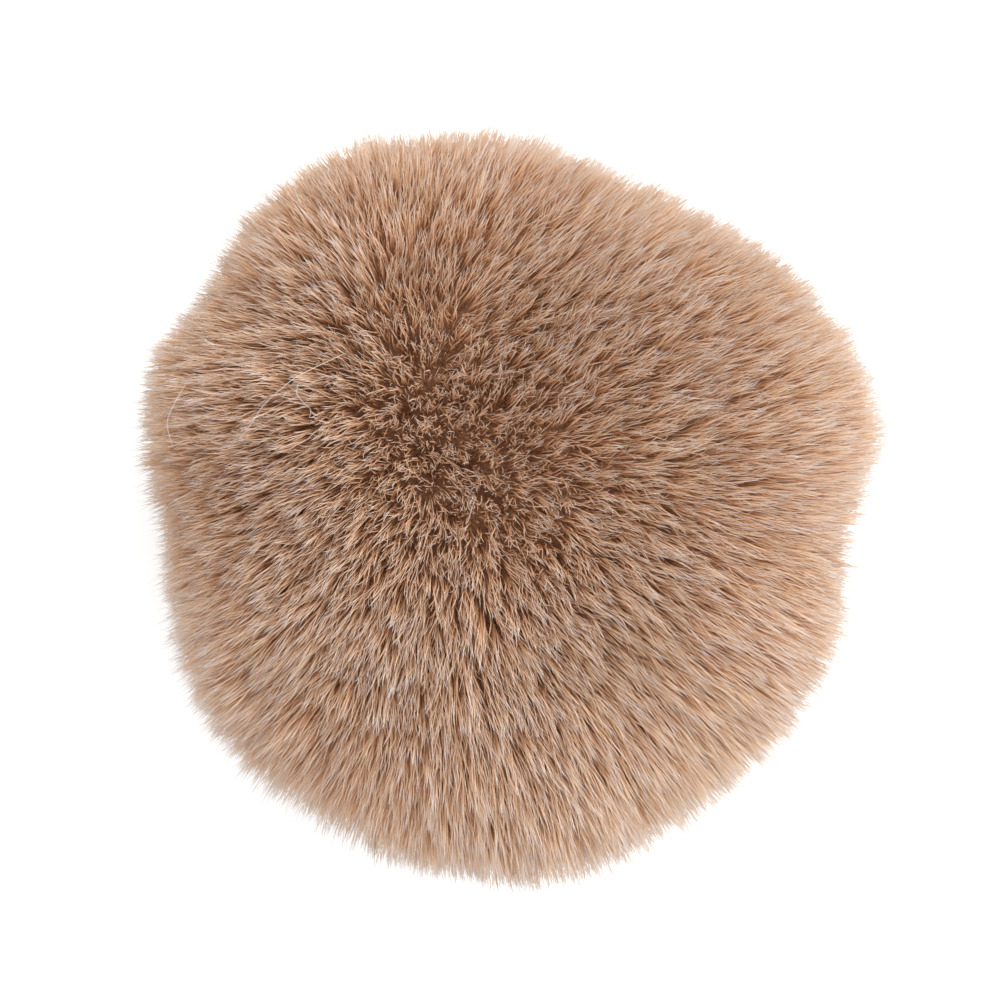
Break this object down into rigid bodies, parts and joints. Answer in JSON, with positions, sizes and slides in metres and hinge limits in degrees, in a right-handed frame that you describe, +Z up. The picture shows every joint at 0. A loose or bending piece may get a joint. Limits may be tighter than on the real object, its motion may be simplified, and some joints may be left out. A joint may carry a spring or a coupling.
{
  "type": "pom pom",
  "caption": "Fluffy faux-fur pom pom: a soft round ball of long pile on a gathered cloth backing, slightly flat where it lies.",
  "frame": {"origin": "on the surface the pom pom lies on, under the middle of its box", "axes": "+Z up, through the pile that faces the viewer; +X and +Y to the right and to the top of that view"},
  "size_m": [0.1076, 0.109, 0.0878],
  "materials": {
    "fur": "long matt faux-fur pile, dark brown at the roots and pale tan at the tips"
  },
  "bodies": {
    "root": {"pom_pom": "fur"}
  },
  "joints": []
}
